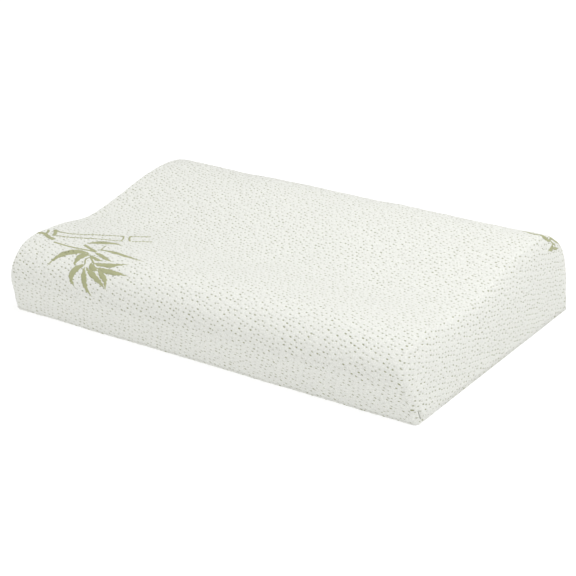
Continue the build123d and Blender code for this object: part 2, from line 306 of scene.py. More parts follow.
def capsules(name, starts, ends, radius, rings=2, sides=6, flat=1.0, normals=None):
    """Short rounded threads from starts to ends, all in one mesh."""
    verts, faces = [], []
    ts, rs = [], []
    for k in range(rings + 1):
        ang = (math.pi / 2) * k / rings
        ts.append(-math.cos(ang))
        rs.append(math.sin(ang))
    prof = [(-1, t, max(r, 0.02)) for t, r in zip(ts, rs)] + [(1, -t, max(r, 0.02)) for t, r in zip(ts[::-1], rs[::-1])]
    starts, ends = np.asarray(starts, float), np.asarray(ends, float)
    for i in range(len(starts)):
        a, b = starts[i], ends[i]
        d = b - a
        L = np.linalg.norm(d)
        d = d / max(L, 1e-9)
        ref = normals[i] if normals is not None else (np.array([0, 0, 1.0]) if abs(d[2]) < 0.9 else np.array([1.0, 0, 0]))
        e1 = np.cross(d, ref)
        e1 /= max(np.linalg.norm(e1), 1e-9)
        e2 = np.cross(e1, d)
        base = len(verts)
        for end, t, r in prof:
            c = (a if end < 0 else b) + d * (t * radius)
            for q in range(sides):
                w = 2 * math.pi * q / sides
                verts.append(c + (e1 * math.cos(w) + e2 * math.sin(w) * flat) * r * radius)
        n = len(prof)
        for k in range(n - 1):
            for q in range(sides):
                r2 = (q + 1) % sides
                faces.append((base + k * sides + q, base + k * sides + r2, base + (k + 1) * sides + r2, base + (k + 1) * sides + q))
        faces.append(tuple(base + q for q in range(sides))[::-1])
        faces.append(tuple(base + (n - 1) * sides + q for q in range(sides)))
    o = new_mesh(name, verts, faces)
    return outward(o)


# ------------------------------------------------------------------- materials


class Nodes:
    """A short way to write a procedural material."""

    def __init__(self, name):
        self.m = bpy.data.materials.new(name)
        self.m.use_nodes = True
        self.t = self.m.node_tree
        self.t.nodes.clear()
        self.out = self.t.nodes.new("ShaderNodeOutputMaterial")
        self.b = self.t.nodes.new("ShaderNodeBsdfPrincipled")
        self.t.links.new(self.b.outputs[0], self.out.inputs[0])

    def add(self, kind, **kw):
        n = self.t.nodes.new("ShaderNode" + kind)
        for k, v in kw.items():
            setattr(n, k, v)
        return n

    def link(self, a, b):
        self.t.links.new(a, b)

    def math(self, op, a, b=None, c=None, clamp=False):
        n = self.add("Math", operation=op, use_clamp=clamp)
        for k, v in enumerate((a, b, c)):
            if v is None:
                continue
            if isinstance(v, (int, float)):
                n.inputs[k].default_value = v
            else:
                self.link(v, n.inputs[k])
        return n.outputs[0]

    def ramp(self, fac, stops):
        n = self.add("ValToRGB")
        e = n.color_ramp.elements
        while len(e) < len(stops):
            e.new(0.5)
        for k, (pos, col) in enumerate(stops):
            e[k].position = pos
            e[k].color = (*col, 1) if len(col) == 3 else col
        self.link(fac, n.inputs[0])
        return n.outputs[0]

    def mix(self, fac, a, b, kind="MIX"):
        n = self.add("Mix", data_type="RGBA", blend_type=kind)
        for sock, v in ((n.inputs[0], fac), (n.inputs[6], a), (n.inputs[7], b)):
            if isinstance(v, (int, float)):
                sock.default_value = v
            elif isinstance(v, tuple):
                sock.default_value = (*v, 1)
            else:
                self.link(v, sock)
        return n.outputs[2]

    def coords(self, which="Object", scale=(1, 1, 1), uv=None, rot=(0, 0, 0)):
        if uv:
            src = self.add("UVMap", uv_map=uv).outputs[0]
        else:
            src = self.add("TexCoord").outputs[which]
        m = self.add("Mapping")
        m.inputs["Scale"].default_value = scale
        m.inputs["Rotation"].default_value = rot
        self.link(src, m.inputs[0])
        return m.outputs[0]

    def noise(self, vec, scale, detail=2.0, rough=0.5, dims="3D"):
        n = self.add("TexNoise", noise_dimensions=dims)
        n.inputs["Scale"].default_value = scale
        n.inputs["Detail"].default_value = detail
        n.inputs["Roughness"].default_value = rough
        self.link(vec, n.inputs["Vector"])
        return n.outputs[0]

    def wave(self, vec, scale, direction="X", distortion=0.0, profile="SIN"):
        n = self.add("TexWave", wave_type="BANDS", bands_direction=direction, wave_profile=profile)
        n.inputs["Scale"].default_value = scale
        n.inputs["Distortion"].default_value = distortion
        n.inputs["Detail"].default_value = 0.0
        self.link(vec, n.inputs["Vector"])
        return n.outputs["Fac"]

    def bump(self, height, distance, strength=1.0, normal=None):
        n = self.add("Bump")
        n.inputs["Strength"].default_value = strength
        n.inputs["Distance"].default_value = distance
        self.link(height, n.inputs["Height"])
        if normal is not None:
            self.link(normal, n.inputs["Normal"])
        return n.outputs[0]

    def finish(self, color, rough=0.9, normal=None, sheen=0.0, spec=0.2, metal=0.0, coat=0.0, sheen_rough=0.6):
        i = self.b.inputs
        if isinstance(color, tuple):
            i["Base Color"].default_value = (*color, 1)
        else:
            self.link(color, i["Base Color"])
        if isinstance(rough, (int, float)):
            i["Roughness"].default_value = rough
        else:
            self.link(rough, i["Roughness"])
        if normal is not None:
            self.link(normal, i["Normal"])
        i["Sheen Weight"].default_value = sheen
        i["Sheen Roughness"].default_value = sheen_rough
        i["Specular IOR Level"].default_value = spec
        i["Metallic"].default_value = metal
        i["Coat Weight"].default_value = coat
        return self.m


def srgb(r, g, b, k=1.0):
    return tuple(((c / 255) / 12.92 if c / 255 <= 0.04045 else ((c / 255 + 0.055) / 1.055) ** 2.4) * k for c in (r, g, b))


# Wave texture bands repeat every 2*pi/20 units at scale 1, so scale = 0.314159 / pitch.
def band(pitch_m):
    return 0.3141593 / pitch_m


def knit(name, light, shade, dot, sheen=0.15):
    """Fine double knit: ribs and courses, uneven yarn, and sunken tuck stitches as dots."""
    n = Nodes(name)
    uv = n.coords(uv="cloth")
    ribs = n.wave(uv, band(0.00115), "X", 0.6)
    rows = n.wave(uv, band(0.0009), "Y", 0.6)
    loops = n.math("MULTIPLY", ribs, rows)
    yarn = n.noise(uv, 620.0, 3.0, 0.65)
    cloud = n.noise(n.coords(), 26.0, 3.0, 0.55)
    colour = n.mix(cloud, shade, light)
    grain = n.math("MULTIPLY", n.math("SUBTRACT", yarn, 0.43), 4.5, clamp=True)
    colour = n.mix(n.math("SUBTRACT", 1.0, grain), colour, tuple(c * 0.86 for c in shade))
    colour = n.mix(n.math("MULTIPLY", n.math("SUBTRACT", 1.0, loops), 0.10), colour, shade)
    height = n.math("ADD", n.math("MULTIPLY", loops, 0.35), n.math("MULTIPLY", yarn, 0.9))
    # dots: one per cell of an uneven grid, each a short dash along the knit
    wob = n.add("TexNoise", noise_dimensions="2D")
    wob.inputs["Scale"].default_value = 70.0
    wob.inputs["Detail"].default_value = 1.0
    n.link(uv, wob.inputs["Vector"])
    sc = n.add("VectorMath", operation="SCALE")
    sc.inputs["Scale"].default_value = 0.0022
    n.link(wob.outputs["Color"], sc.inputs[0])
    warp = n.add("VectorMath", operation="ADD")
    n.link(uv, warp.inputs[0])
    n.link(sc.outputs[0], warp.inputs[1])
    m = n.add("Mapping")
    m.inputs["Rotation"].default_value = (0, 0, 0.30)
    m.inputs["Scale"].default_value = (1 / 0.0058, 1 / 0.0049, 1)
    n.link(warp.outputs[0], m.inputs[0])
    vor = n.add("TexVoronoi", voronoi_dimensions="2D", feature="F1", distance="EUCLIDEAN")
    vor.inputs["Scale"].default_value = 1.0
    vor.inputs["Randomness"].default_value = 0.60
    n.link(m.outputs[0], vor.inputs["Vector"])
    off = n.add("VectorMath", operation="SUBTRACT")
    n.link(m.outputs[0], off.inputs[0])
    n.link(vor.outputs["Position"], off.inputs[1])
    stretch = n.add("Mapping")
    stretch.inputs["Scale"].default_value = (1 / 0.235, 1 / 0.130, 0)
    n.link(off.outputs[0], stretch.inputs[0])
    dist = n.add("VectorMath", operation="LENGTH")
    n.link(stretch.outputs[0], dist.inputs[0])
    d = dist.outputs["Value"]
    sep = n.add("SeparateColor")
    n.link(vor.outputs["Color"], sep.inputs[0])
    size = n.math("ADD", n.math("MULTIPLY", sep.outputs[0], 0.42), 0.78)
    core = n.math("MULTIPLY", n.math("SUBTRACT", size, d), 2.2, clamp=True)
    force = n.math("ADD", n.math("MULTIPLY", sep.outputs[1], 0.75), 0.42)
    colour = n.mix(n.math("MULTIPLY", core, force), colour, dot)
    dish = n.math("MULTIPLY", n.math("SUBTRACT", 1.9, d), 0.9, clamp=True)
    height = n.math("SUBTRACT", height, n.math("MULTIPLY", dish, 1.6))
    normal = n.bump(height, 0.00024, 0.9)
    return n.finish(colour, 0.93, normal, sheen=sheen, spec=0.12, sheen_rough=0.5)

# ------------------------------------------------------------------ materials in use
KNIT_LIGHT, KNIT_SHADE, DOT = (0.835, 0.842, 0.795), (0.805, 0.812, 0.762), (0.28, 0.295, 0.165)
M_KNIT = knit("cover_knit", KNIT_LIGHT, KNIT_SHADE, DOT)
M_BASE = knit("cover_knit_base", (0.78, 0.785, 0.735), (0.74, 0.745, 0.69), DOT)


def sprig_material():
    n = Nodes("sprig_yarn")
    uv = n.coords(uv="cloth")
    ribs = n.wave(uv, band(0.00115), "X", 0.5)
    rows = n.wave(uv, band(0.0009), "Y", 0.5)
    loops = n.math("MULTIPLY", ribs, rows)
    cloud = n.noise(n.coords(), 160.0, 2.0, 0.6)
    colour = n.mix(cloud, (0.375, 0.388, 0.215), (0.450, 0.460, 0.270))
    colour = n.mix(n.math("MULTIPLY", n.math("SUBTRACT", 1.0, loops), 0.18), colour, (0.33, 0.34, 0.18))
    height = n.math("ADD", loops, n.math("MULTIPLY", n.noise(uv, 900.0, 2.0, 0.6), 0.4))
    return n.finish(colour, 0.85, n.bump(height, 0.00025, 0.9), sheen=0.15, spec=0.15, sheen_rough=0.5)


def thread_material(name, colour, dark):
    n = Nodes(name)
    co = n.coords()
    twist = n.wave(n.coords(rot=(0.6, 0.5, 0.8)), band(0.00042), "DIAGONAL", 0.0)
    c = n.mix(twist, dark, colour)
    return n.finish(c, 0.7, n.bump(n.math("ADD", twist, n.noise(co, 2500.0, 1.0)), 0.00008, 0.8), sheen=0.2, spec=0.3)


def tape_material():
    n = Nodes("zip_tape_weave")
    uv = n.coords(uv="cloth")
    a = n.wave(n.coords(uv="cloth", rot=(0, 0, 0.7854)), band(0.0009), "X", 0.0)
    b = n.wave(n.coords(uv="cloth", rot=(0, 0, -0.7854)), band(0.0009), "X", 0.0)
    flip = n.wave(uv, band(0.0042), "Y", 0.0, "SAW")
    pick = n.math("GREATER_THAN", flip, 0.5)
    mixn = n.add("Mix", data_type="FLOAT")
    n.link(pick, mixn.inputs[0]); n.link(a, mixn.inputs[2]); n.link(b, mixn.inputs[3])
    w = mixn.outputs[0]
    c = n.mix(w, (0.66, 0.66, 0.62), (0.80, 0.80, 0.765))
    h = n.math("ADD", w, n.math("MULTIPLY", n.noise(uv, 1500.0, 2.0), 0.4))
    return n.finish(c, 0.85, n.bump(h, 0.00016, 0.9), sheen=0.2, spec=0.2)


def satin_material():
    n = Nodes("label_satin")
    uv = n.coords(uv="cloth")
    w = n.wave(uv, band(0.00035), "X", 0.3)
    r = n.wave(uv, band(0.0022), "Y", 1.2)
    c = n.mix(w, (0.83, 0.83, 0.82), (0.90, 0.90, 0.89))
    rough = n.math("ADD", n.math("MULTIPLY", r, 0.12), 0.34)
    return n.finish(c, rough, n.bump(w, 0.00005, 0.7), sheen=0.1, spec=0.5)


def coil_material():
    n = Nodes("zip_coil_nylon")
    co = n.coords()
    v = n.noise(co, 420.0, 2.0, 0.5)
    c = n.mix(v, (0.74, 0.74, 0.70), (0.84, 0.84, 0.80))
    rough = n.math("ADD", n.math("MULTIPLY", n.noise(co, 1900.0, 2.0), 0.15), 0.33)
    return n.finish(c, rough, n.bump(n.noise(co, 2400.0, 2.0), 0.00003, 0.7), spec=0.5)


def enamel_material():
    n = Nodes("zip_enamel")
    co = n.coords()
    fine = n.noise(co, 2600.0, 2.0, 0.6)
    patch = n.noise(co, 300.0, 3.0, 0.6)
    geo = n.add("NewGeometry")
    edge = n.ramp(geo.outputs["Pointiness"], [(0.53, (0, 0, 0)), (0.60, (1, 1, 1))])
    worn = n.math("MULTIPLY", edge, n.math("GREATER_THAN", patch, 0.56))
    c = n.mix(patch, (0.56, 0.56, 0.54), (0.66, 0.66, 0.64))
    c = n.mix(n.math("MULTIPLY", worn, 0.7), c, (0.42, 0.41, 0.38))
    rough = n.math("ADD", n.math("MULTIPLY", fine, 0.16), 0.26)
    return n.finish(c, rough, n.bump(fine, 0.00002, 0.6), spec=0.5, coat=0.25)


def foam_material():
    n = Nodes("foam_cells")
    co = n.coords()
    v = n.add("TexVoronoi", voronoi_dimensions="3D", feature="F1")
    v.inputs["Scale"].default_value = 900.0
    n.link(co, v.inputs["Vector"])
    cells = v.outputs["Distance"]
    cloud = n.noise(co, 18.0, 3.0)
    c = n.mix(cloud, (0.80, 0.73, 0.55), (0.86, 0.80, 0.63))
    c = n.mix(n.math("MULTIPLY", n.math("SUBTRACT", 1.0, cells, clamp=True), 0.35), c, (0.62, 0.55, 0.38))
    return n.finish(c, 0.95, n.bump(cells, 0.0004, 0.8), spec=0.1)


def liner_material():
    n = Nodes("liner_jersey")
    uv = n.coords(uv="cloth")
    ribs = n.wave(uv, band(0.0008), "X", 0.8)
    rows = n.wave(uv, band(0.0006), "Y", 0.8)
    w = n.math("MULTIPLY", ribs, rows)
    c = n.mix(n.noise(n.coords(), 40.0, 3.0), (0.79, 0.79, 0.79), (0.86, 0.86, 0.86))
    return n.finish(c, 0.9, n.bump(w, 0.00015, 0.8), sheen=0.2, spec=0.15)


M_SPRIG = sprig_material()
M_THREAD = thread_material("thread_offwhite", (0.80, 0.80, 0.765), (0.62, 0.62, 0.585))
# The dart stitches are real, but their dark olive thread is painted shade: it stands in for the shadow in each
# folded-in dart.
M_DART_THREAD_PAINTED_SHADE = thread_material("thread_dart_painted_fold_shade", (0.27, 0.27, 0.21), (0.18, 0.18, 0.13))
M_TAPE, M_SATIN, M_COIL, M_ENAMEL = tape_material(), satin_material(), coil_material(), enamel_material()
M_FOAM, M_LINER = foam_material(), liner_material()


def piece(o, mat, body="pillow", replaces=()):
    o.data.materials.clear()
    o.data.materials.append(mat)
    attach(o, body)
    if replaces:
        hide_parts(*replaces)
    return o


# ----------------------------------------------------------------- cover, top
def rows_of_s():
    lo, hi = ZIP_S - ZIP_GAP / 2, ZIP_S + ZIP_GAP / 2
    s = {0.0, 0.5, 1.1, 1.8, 2.6, 3.5, 4.6, 6.0, 8.0, 10.5}
    s |= {S_ALL - v for v in (0.0, 0.5, 1.1, 1.8, 2.6, 3.5, 4.6, 6.0, 8.0)}
    s |= {lo, hi, lo - 0.5, hi + 0.5, lo - 1.4, hi + 1.4, lo - 2.3, hi + 2.3, lo - 3.2, hi + 3.2, lo - 4.6, hi + 4.6, lo - 6.6, lo - 8.2, lo - 10.4, hi + 6.6}
    s |= set(np.arange(13.0, lo - 11.5, 2.6))
    return np.array(sorted(s))


def cols_of_a():
    w = ZIP_OPEN / 2
    x = {w, w + 0.5, w + 1.4, w + 2.3, w + 3.2, w + 4.6, w + 6.6, w + 9.0, w + 12.0, w + 15.5, w + 19.0, w + 22.0}
    x |= set(np.linspace(0, w - 1.2, 78))
    x = np.array(sorted(x)) / A_HALF
    end = 1 + np.r_[np.linspace(0, 0.86, 33), 0.885, 0.905, 0.925, 0.943, 0.958, 0.971, 0.982, 0.991, 1.0]
    one = np.r_[x[x < 0.995], end]
    return np.r_[-one[:0:-1], one]


S_ROWS, A_COLS = rows_of_s(), cols_of_a()


def shell(name, outer, inner, faces, uv):
    """A sheet with thickness: an outer skin, its inner copy, and the cut edges between."""
    q = outer[faces]
    out = np.cross(q[:, 2] - q[:, 0], q[:, 3] - q[:, 1])
    if (out * (q.mean(1) - (0, 0, 38.0))).sum() < 0:
        faces, uv = faces[:, ::-1], uv[:, ::-1]
    n = len(outer)
    a, b = faces.ravel(), np.roll(faces, -1, 1).ravel()
    ua, ub = uv.reshape(-1, 2), np.roll(uv, -1, 1).reshape(-1, 2)
    cut = ~np.isin(a * n + b, b * n + a)
    a, b, ua, ub = a[cut], b[cut], ua[cut], ub[cut]
    faces = np.concatenate([faces, faces[:, ::-1] + n, np.stack([b, a, a + n, b + n], 1)])
    uv = np.concatenate([uv, uv[:, ::-1], np.stack([ub, ua, ua, ub], 1)])
    o = new_mesh(name, np.concatenate([outer, inner]), faces, uv.reshape(-1, 2))
    bm = bmesh.new()
    bm.from_mesh(o.data)
    bmesh.ops.remove_doubles(bm, verts=bm.verts, dist=0.00001)
    bmesh.ops.dissolve_degenerate(bm, dist=0.000002, edges=bm.edges)
    bm.to_mesh(o.data)
    bm.free()
    o.data.update()
    return o


def cover_skin():
    sg, ag = np.meshgrid(S_ROWS, A_COLS, indexing="ij")
    p, n = skin(sg, ag)
    inner = p - n * 1.2
    inner[..., 2] = np.maximum(inner[..., 2], 0.10 + 0.3 * np.clip(p[..., 2] / 2, 0, 1))
    ns, na = sg.shape
    sm, am = (S_ROWS[:-1] + S_ROWS[1:]) / 2, (A_COLS[:-1] + A_COLS[1:]) / 2
    skip = (np.abs(sm - ZIP_S) < ZIP_GAP / 2)[:, None] & (np.abs(am) * A_HALF < ZIP_OPEN / 2)[None, :]
    faces = grid_faces(ns, na, skip=skip)
    verts = p.reshape(-1, 3)
    # cloth coordinates: length along the profile by X, and y by z on the ends
    x, s = p[..., 0].ravel(), sg.ravel()
    fn = n.reshape(-1, 3)[faces].mean(1)
    end = np.abs(fn[:, 0]) > 0.62
    top = np.stack([x[faces], s[faces]], -1)
    side = np.stack([verts[faces][..., 1] + 900.0 * np.sign(fn[:, :1]), verts[faces][..., 2] + 700.0], -1)
    uv = np.where(end[:, None, None], side, top) * MM
    # unused points inside the window are dropped with their faces
    used = np.unique(faces)
    remap = -np.ones(len(verts), int)
    remap[used] = np.arange(len(used))
    o = shell("cover_skin", verts[used], inner.reshape(-1, 3)[used], remap[faces], uv)
    return piece(o, M_KNIT, replaces=("cover_top", "cover_back_strip"))


# ----------------------------------------------------------------- cover, base
def base_panel():
    a = A_COLS
    f, _ = skin(np.zeros_like(a), a)
    b, _ = skin(np.full_like(a, S_ALL), a)
    t = np.r_[0, 0.004, 0.010, 0.02, np.linspace(0.04, 0.96, 64), 0.98, 0.99, 0.996, 1]
    p = f[:, None, :] * (1 - t[None, :, None]) + b[:, None, :] * t[None, :, None]
    x, y = p[..., 0], p[..., 1]
    rim = np.minimum(np.minimum(t, 1 - t)[None, :] * 320, np.maximum(HALF - BOTTOM_R - np.abs(x), 0))
    p[..., 2] = 0.12 + np.abs(waves(x, y, _WAVES, 0.22)) * np.clip(rim / 12, 0, 1) + 0.5 * np.exp(-((rim - 4.5) / 1.4) ** 2)
    verts = p.reshape(-1, 3)
    faces = grid_faces(len(a), len(t))
    o = shell("cover_base_panel", verts, verts + (0, 0, 1.2), faces, verts[faces][..., :2] * MM)
    return piece(o, M_BASE, replaces=("cover_base",))


# -------------------------------------------------------------- woven sprigs
def make_unrolled():
    """The form's coordinate against distance along X over the cloth, round a full end."""
    a = np.linspace(1, 2, 400)
    p = form(np.full_like(a, 365.0), a)
    u = A_HALF + np.r_[0, np.cumsum(np.linalg.norm(np.diff(p, axis=0), axis=1))]
    return u, a


END_U, END_A = make_unrolled()


def a_unrolled(u):
    u = np.asarray(u, float)
    m = np.abs(u)
    return np.sign(u) * np.where(m <= A_HALF, m / A_HALF, np.interp(m, END_U, END_A))


def ribbon(cx, cs, half, cross=5, lift=0.16, deep=0.35, unrolled=False):
    """A thin plate lying on the cover, along (x, s) points with half widths, in mm."""
    cx, cs, half = (np.asarray(q, float) for q in (cx, cs, half))
    tx, ts = np.gradient(cx), np.gradient(cs)
    n = np.hypot(tx, ts)
    nx, ns = -ts / n, tx / n
    w = np.linspace(-1, 1, cross)
    X = cx[:, None] + nx[:, None] * half[:, None] * w
    S = cs[:, None] + ns[:, None] * half[:, None] * w
    S = np.clip(S, 1, S_ALL - 1)
    A = a_unrolled(X) if unrolled else a_of(np.clip(X, -249.6, 249.6))
    top, _ = skin(S, A, lift)
    rim = np.ones_like(S)
    rim[:, 0] = rim[:, -1] = 0
    rim[0, :] = rim[-1, :] = 0
    low, _ = skin(S, A, 0.02)
    top = np.where(rim[..., None] > 0, top, low)
    bot, _ = skin(S, A, -deep)
    m, k = S.shape
    verts = np.concatenate([top.reshape(-1, 3), bot.reshape(-1, 3)])
    f = [tuple(q) for q in grid_faces(m, k)] + [tuple(q) for q in grid_faces(m, k, base=m * k, flip=True)]
    loop = [(0, j) for j in range(k)] + [(i, k - 1) for i in range(1, m)] + [(m - 1, j) for j in range(k - 2, -1, -1)] + [(i, 0) for i in range(m - 2, 0, -1)]
    ids = [i * k + j for i, j in loop]
    for q in range(len(ids)):
        a, b = ids[q], ids[(q + 1) % len(ids)]
        f.append((b, a, a + m * k, b + m * k))
    flat = np.concatenate([np.stack([X, S], -1).reshape(-1, 2)] * 2)
    return verts, f, flat


def bend(points, n):
    """A smooth line through a few points, n steps."""
    p = np.asarray(points, float)
    if len(p) == 2:
        return p[0] + (p[1] - p[0]) * np.linspace(0, 1, n)[:, None]
    t = np.r_[0, np.cumsum(np.linalg.norm(np.diff(p, axis=0), axis=1))]
    return natural_spline(t, p, np.linspace(0, t[-1], n))


def steps(n, seed, amp):
    """The knit's stepped edge: small fixed jumps, each a few points long."""
    r = np.random.default_rng(seed)
    return np.repeat(r.uniform(-amp, amp, n // 2 + 1), 2)[:n]


def leaf(points, width, full=0.42):
    """A lance-shaped bamboo leaf: widest at full of its length, with a drawn-out tip."""
    length = np.linalg.norm(np.diff(np.asarray(points, float), axis=0), axis=1).sum()
    n = max(16, int(length / 0.8))
    c = bend(points, n)
    t = np.linspace(0, 1, n)
    w = np.where(t < full, np.sin(t / full * np.pi / 2) ** 0.8, np.cos((t - full) / (1 - full) * np.pi / 2) ** 1.3)
    w = w * width * 0.46
    seed = int(abs(points[0][0]) * 10 + abs(points[-1][1]) * 7) % 9973
    left, right = w + steps(n, seed, 0.75) * (w > 0.9), w + steps(n, seed + 1, 0.75) * (w > 0.9)
    side = np.gradient(c, axis=0)
    side = np.stack([-side[:, 1], side[:, 0]], 1) / np.linalg.norm(side, axis=1)[:, None]
    mid = c + side * ((right - left) / 2)[:, None]
    return mid[:, 0], mid[:, 1], np.maximum((left + right) / 2, 0.12)


def line(points, width, n=24):
    c = bend(points, n)
    return c[:, 0], c[:, 1], np.full(n, width / 2) * (1 + 0.12 * np.sin(np.arange(n) * 2.1))


def dashes(points, width, dash=2.6, gap=1.0):
    """A stitched outline: short strokes along a line."""
    c = bend(points, 200)
    d = np.r_[0, np.cumsum(np.linalg.norm(np.diff(c, axis=0), axis=1))]
    out, at, k = [], 0.0, 0
    while at + dash * 0.6 < d[-1]:
        length = dash * (0.75 + 0.5 * ((k * 0.618) % 1))
        q = np.linspace(at, min(at + length, d[-1]), 4)
        out.append((np.interp(q, d, c[:, 0]), np.interp(q, d, c[:, 1]), np.full(4, width / 2)))
        at += length + gap
        k += 1
    return out


# The sprig, in (x, s): a jointed cane, a twig, and leaves in two fans.
LEAVES = [
    ([(-152, 95.5), (-168, 93.5), (-180, 84.5), (-191, 66.5)], 9.0),
    ([(-149, 93.5), (-157, 89.5), (-159, 83), (-157.5, 74.5)], 8.6),
    ([(-145.5, 80), (-152, 74.5), (-156.0, 64), (-148, 53.5)], 8.4),
    ([(-144.5, 77), (-140.0, 66), (-134, 57), (-124, 48.5)], 7.0),
    ([(-143, 77), (-131, 71), (-120, 66), (-108, 60)], 6.6),
    ([(-127, 77), (-118, 72.5), (-111.5, 67), (-108, 58.5)], 6.4),
    ([(-138, 83.5), (-124, 84.5), (-112, 87.5), (-97, 94)], 6.2),
    ([(-133, 79.5), (-118, 78.5), (-104, 78.6), (-87, 79)], 6.0),
    ([(-148.5, 100), (-137, 97), (-127, 93.5), (-117, 91.5)], 5.4),
    ([(-151, 106.5), (-132, 108), (-110, 107), (-86, 105)], 4.8),
    ([(-172, 114.5), (-163, 124.5), (-152, 129.5), (-136, 131)], 9.0),
    ([(-150, 93.5), (-143, 91), (-136, 89.5), (-128, 89.6)], 4.2),
    ([(-140, 84), (-137.5, 80), (-132, 77), (-126, 76.5)], 6.4),
]
LINES = [
    ([(-205, 99.5), (-184, 99.0), (-168, 99.8), (-151, 101.5)], 2.3),
    ([(-172, 110.5), (-160, 105.5), (-148, 101.5)], 3.4),
    ([(-146, 107), (-148, 113), (-150, 120)], 1.6),
    ([(-147, 91), (-149.5, 86), (-146.5, 81)], 1.8),
    ([(-146, 90), (-140, 86), (-136, 83)], 2.0),
    ([(-238, 107.5), (-231, 111), (-220, 107), (-209, 104.5)], 4.6),
]
# The cane's two outlines, and the thick ends of its joints.
OUTLINES = [
    [(-226, 124), (-206, 127.5), (-181, 143), (-158, 159.5)],
    [(-218, 112.5), (-198.5, 119), (-167, 135.5), (-146, 143.5)],
    [(-153, 163), (-143, 169.5), (-133.5, 175.5)],
    [(-139, 148.5), (-130, 155), (-122, 161.5)],
]
JOINTS = [
    ([(-228, 126.5), (-221, 119.5), (-217, 112)], 4.0),
    ([(-233, 121.5), (-229, 116.5), (-228, 110.5)], 2.6),
    ([(-159, 159), (-153.5, 151.5), (-149, 143)], 1.6),
    ([(-153, 163), (-148.5, 155.5), (-141, 148)], 2.2),
]


# The second one, over the far end of the high lobe: in (distance over the end, s).
CORNER_LEAVES = [
    ([(242.6, 374.0), (241.0, 362.5), (235.5, 355.0), (226.0, 354.2), (213.0, 358.2)], 5.4),
    ([(243.0, 375.5), (247.6, 378.0), (251.2, 371.5), (254.0, 364.0)], 6.0),
    ([(244.0, 377.0), (249.0, 381.5), (248.0, 389.5), (245.0, 399.0)], 3.8),
    ([(241.0, 371.0), (238.3, 383.5), (238.3, 396.0), (237.8, 410.0), (239.5, 419.0)], 5.4),
    ([(240.0, 377.0), (233.0, 388.0), (228.0, 399.0), (219.0, 412.0)], 7.2),
    ([(239.0, 375.5), (229.0, 381.5), (218.0, 389.0), (205.0, 399.0)], 7.0),
    ([(238.0, 373.0), (226.0, 374.0), (213.0, 377.0), (196.0, 382.0)], 5.6),
]
CORNER_LINES = [
    ([(240.5, 371.0), (243.0, 376.0), (244.2, 382.0), (244.2, 388.0)], 2.2),
    ([(241.5, 374.0), (234.0, 371.5), (224.0, 369.5), (210.0, 369.0)], 1.8),
]


def sprig(name, leaves, lines=(), outlines=(), unrolled=False):
    """A sprig laid on the cover as one mesh of thin plates."""
    verts, faces, uv = [], [], []
    count = 0
    strips = [leaf(p, w) for p, w in leaves] + [line(p, w) for p, w in lines]
    for p in outlines:
        strips += dashes(p, 2.7, 3.2, 0.7)
    for cx, cs, half in strips:
        v, f, flat = ribbon(cx, cs, half, cross=5 if half.max() > 1.0 else 3, unrolled=unrolled)
        verts.append(v)
        faces += [tuple(q + count for q in g) for g in f]
        for g in f:
            uv += [flat[q] * MM for q in g]
        count += len(v)
    o = new_mesh(name, np.concatenate(verts), faces, np.array(uv))
    outward(o)
    return piece(o, M_SPRIG)


# -------------------------------------------------------------------- seams
def foot_stitches():
    """Stitches all round the foot, 2.6 mm up, lying in the seam's groove."""
    s = np.interp(2.65, [0, 40], [0, 40 / DF[1]])
    a = np.linspace(-1.93, 1.93, 2600)
    front, _ = skin(np.full_like(a, s), a, 0.16)
    back, _ = skin(np.full_like(a, S_ALL - s), a, 0.16)
    runs = [front, back[::-1]]
    for sx in (1, -1):
        ss = np.linspace(0, S_ALL, 900)
        p = form(ss, np.full_like(ss, 1.0))
        aa = []
        for k, v in enumerate(ss):                      # where each profile line comes down to the seam
            q = np.linspace(1.5, 2.0, 60)
            z = form(np.full_like(q, v), q)[:, 2]
            aa.append(np.interp(-2.65, -z, q) if z.min() < 2.65 < z.max() else np.nan)
        aa = np.array(aa)
        ok = ~np.isnan(aa) & (ss > 30) & (ss < S_ALL - 30)
        e, _ = skin(ss[ok], sx * aa[ok], 0.16)
        runs.append(e)
    starts, ends = [], []
    for r in runs:
        d = np.r_[0, np.cumsum(np.linalg.norm(np.diff(r, axis=0), axis=1))]
        at = np.arange(0.6, d[-1] - 3.0, 3.3)
        for q in at:
            g = [np.array([np.interp(t, d, r[:, k]) for k in range(3)]) for t in (q, q + 2.3)]
            starts.append(g[0])
            ends.append(g[1])
    o = capsules("foot_seam_stitches", starts, ends, 0.26)
    return piece(o, M_THREAD, replaces=("base_seam_thread",))


def dart_stitches():
    starts, ends = [], []
    for lo, hi in DARTS:
        out = np.array([lo[0], lo[1], 0.0])
        out /= np.linalg.norm(out)
        for t in np.linspace(0.06, 0.84, 6):
            a, b = lo + (hi - lo) * t, lo + (hi - lo) * (t + 0.11)
            for q, bag in ((a, starts), (b, ends)):
                bag.append(q + out * -0.55)
    # real stitches in each dart's groove, in the dark thread that paints the fold's shadow
    o = capsules("corner_dart_stitches", starts, ends, 0.27)
    return piece(o, M_DART_THREAD_PAINTED_SHADE, replaces=("corner_dart_threads",))


# Frame of the zip, as in the CAD: u runs towards -X, v up the wall, w out of it.
ZO = np.array([0.0, BACK_FOOT[0] + ZIP_Z * DB[0] / DB[1], ZIP_Z])
ZU, ZV, ZW = np.array([-1.0, 0, 0]), np.array([0, DB[0], DB[1]]), np.array([0, DB[1], -DB[0]])


def at_zip(u, v, w):
    u, v, w = np.broadcast_arrays(*(np.asarray(q, float) for q in (u, v, w)))
    return ZO + u[..., None] * ZU + v[..., None] * ZV + w[..., None] * ZW


